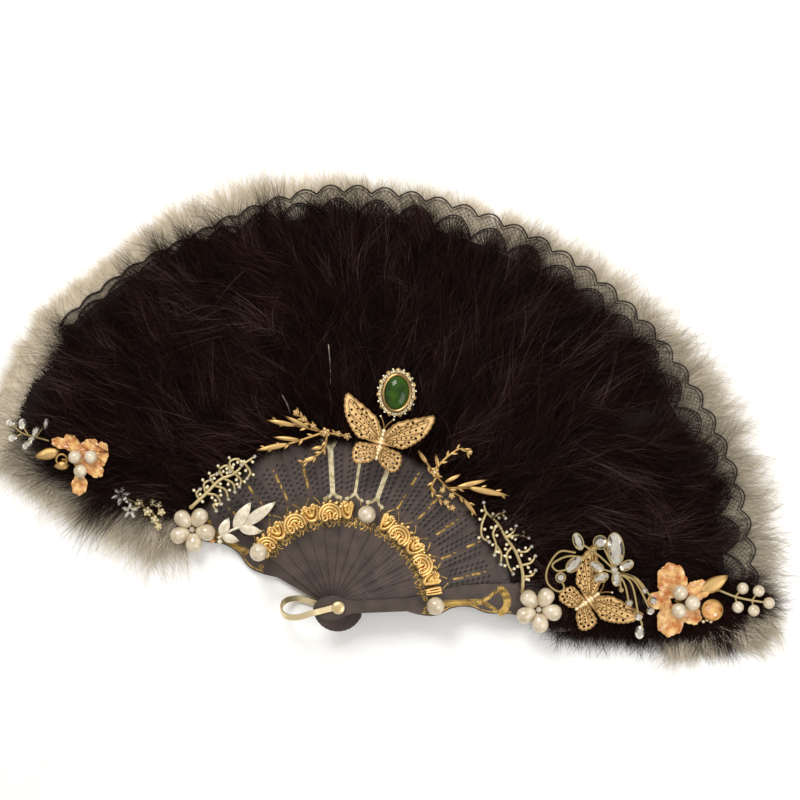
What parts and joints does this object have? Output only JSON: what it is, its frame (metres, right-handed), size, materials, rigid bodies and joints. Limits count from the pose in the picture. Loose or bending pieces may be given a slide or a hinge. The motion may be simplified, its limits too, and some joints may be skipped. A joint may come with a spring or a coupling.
{
  "type": "feather folding fan",
  "caption": "Folding fan lying open: pierced plastic sticks on a rivet with a bail loop, dark feathers on a pleated leaf, lace edging, gold scrolls, butterflies, pearls and crystal sprays.",
  "frame": {"origin": "middle of the rivet's flat underside, on the rivet's axis", "axes": "+Z along the rivet, up from the surface that the fan lies on; +Y along the middle of the open fan; +X towards the front guard's side"},
  "size_m": [0.4491, 0.2374, 0.027],
  "materials": {
    "stick_plastic": "satin, gold foil prints",
    "gold_metal": "polished gold plate",
    "pale_gold_metal": "polished pale gold plate",
    "silver_metal": "polished silver plate",
    "pearl": "pearl lacquer",
    "green_stone": "polished",
    "amber_resin": "clear, polished",
    "crystal": "cut and polished",
    "leaf_cloth": "matt, thin",
    "lace": "matt, open",
    "feather": "matt, downy"
  },
  "bodies": {
    "back_guard": {"back_guard": "stick_plastic", "rivet": "gold_metal", "rivet_washer": "gold_metal", "leaf": "leaf_cloth", "lace_edging": "lace", "marabou_inner_row": "feather", "marabou_middle_row": "feather", "marabou_outer_row": "feather", "crystal_branch_left": "pale_gold_metal", "silver_leaf_spray": "silver_metal", "pearl_flower_left": "pearl", "small_bead": "amber_resin", "crystal_sprig_left": "crystal", "amber_flower_left": "amber_resin", "crystal_sprig_far_left": "crystal"},
    "stick_01": {"stick_01": "stick_plastic", "scroll_01": "gold_metal", "scroll_pearl_left": "pearl"},
    "stick_02": {"stick_02": "stick_plastic", "scroll_02": "gold_metal"},
    "stick_03": {"stick_03": "stick_plastic", "scroll_03": "gold_metal"},
    "stick_04": {"stick_04": "stick_plastic", "scroll_04": "gold_metal"},
    "stick_05": {"stick_05": "stick_plastic", "scroll_05": "gold_metal", "gold_spray_left": "gold_metal"},
    "stick_06": {"stick_06": "stick_plastic", "scroll_06": "gold_metal"},
    "stick_07": {"stick_07": "stick_plastic", "scroll_pearl_middle": "pearl", "butterfly_middle": "gold_metal", "stone_setting": "gold_metal", "oval_stone": "green_stone"},
    "stick_08": {"stick_08": "stick_plastic", "scroll_08": "gold_metal"},
    "stick_09": {"stick_09": "stick_plastic", "scroll_09": "gold_metal", "gold_spray_right": "gold_metal"},
    "stick_10": {"stick_10": "stick_plastic", "scroll_10": "gold_metal"},
    "stick_11": {"stick_11": "stick_plastic", "scroll_11": "gold_metal"},
    "stick_12": {"stick_12": "stick_plastic", "scroll_12": "gold_metal"},
    "front_guard": {"front_guard": "stick_plastic", "scroll_end": "gold_metal", "scroll_pearl_right": "pearl", "crystal_branch_right": "pale_gold_metal", "pearl_flower_right": "pearl", "butterfly_right": "gold_metal", "crystal_spray_right": "crystal", "amber_flower_right": "amber_resin", "pearl_sprig_right": "pearl"},
    "bail": {"bail": "gold_metal"}
  },
  "joints": [
    {"name": "fold_01", "type": "hinge", "parent": "back_guard", "child": "stick_01", "pos_m": [0, 0, 0], "axis": [0, 0, 1], "range_deg": [0, 3.2], "deforming": ["leaf", "lace_edging", "marabou_inner_row", "marabou_middle_row", "marabou_outer_row"]},
    {"name": "fold_02", "type": "hinge", "parent": "stick_01", "child": "stick_02", "pos_m": [0, 0, 0], "axis": [0, 0, 1], "range_deg": [0, 3.4]},
    {"name": "fold_03", "type": "hinge", "parent": "stick_02", "child": "stick_03", "pos_m": [0, 0, 0], "axis": [0, 0, 1], "range_deg": [0, 3.4]},
    {"name": "fold_04", "type": "hinge", "parent": "stick_03", "child": "stick_04", "pos_m": [0, 0, 0], "axis": [0, 0, 1], "range_deg": [0, 3.4]},
    {"name": "fold_05", "type": "hinge", "parent": "stick_04", "child": "stick_05", "pos_m": [0, 0, 0], "axis": [0, 0, 1], "range_deg": [0, 3.4]},
    {"name": "fold_06", "type": "hinge", "parent": "stick_05", "child": "stick_06", "pos_m": [0, 0, 0], "axis": [0, 0, 1], "range_deg": [0, 3.4]},
    {"name": "fold_07", "type": "hinge", "parent": "stick_06", "child": "stick_07", "pos_m": [0, 0, 0], "axis": [0, 0, 1], "range_deg": [0, 3.4]},
    {"name": "fold_08", "type": "hinge", "parent": "stick_07", "child": "stick_08", "pos_m": [0, 0, 0], "axis": [0, 0, 1], "range_deg": [0, 3.4]},
    {"name": "fold_09", "type": "hinge", "parent": "stick_08", "child": "stick_09", "pos_m": [0, 0, 0], "axis": [0, 0, 1], "range_deg": [0, 3.4]},
    {"name": "fold_10", "type": "hinge", "parent": "stick_09", "child": "stick_10", "pos_m": [0, 0, 0], "axis": [0, 0, 1], "range_deg": [0, 3.4]},
    {"name": "fold_11", "type": "hinge", "parent": "stick_10", "child": "stick_11", "pos_m": [0, 0, 0], "axis": [0, 0, 1], "range_deg": [0, 3.4]},
    {"name": "fold_12", "type": "hinge", "parent": "stick_11", "child": "stick_12", "pos_m": [0, 0, 0], "axis": [0, 0, 1], "range_deg": [0, 3.4]},
    {"name": "fold_13", "type": "hinge", "parent": "stick_12", "child": "front_guard", "pos_m": [0, 0, 0], "axis": [0, 0, 1], "range_deg": [0, 3.4]},
    {"name": "bail_swing", "type": "hinge", "parent": "back_guard", "child": "bail", "pos_m": [0, 0, 0], "axis": [0, 0, 1], "range_deg": [-6, 145]}
  ],
  "couplings": [
    {"joint": "fold_02", "follows": "fold_01", "ratio": 1},
    {"joint": "fold_03", "follows": "fold_01", "ratio": 1},
    {"joint": "fold_04", "follows": "fold_01", "ratio": 1},
    {"joint": "fold_05", "follows": "fold_01", "ratio": 1},
    {"joint": "fold_06", "follows": "fold_01", "ratio": 1},
    {"joint": "fold_07", "follows": "fold_01", "ratio": 1},
    {"joint": "fold_08", "follows": "fold_01", "ratio": 1},
    {"joint": "fold_09", "follows": "fold_01", "ratio": 1},
    {"joint": "fold_10", "follows": "fold_01", "ratio": 1},
    {"joint": "fold_11", "follows": "fold_01", "ratio": 1},
    {"joint": "fold_12", "follows": "fold_01", "ratio": 1},
    {"joint": "fold_13", "follows": "fold_01", "ratio": 1}
  ]
}
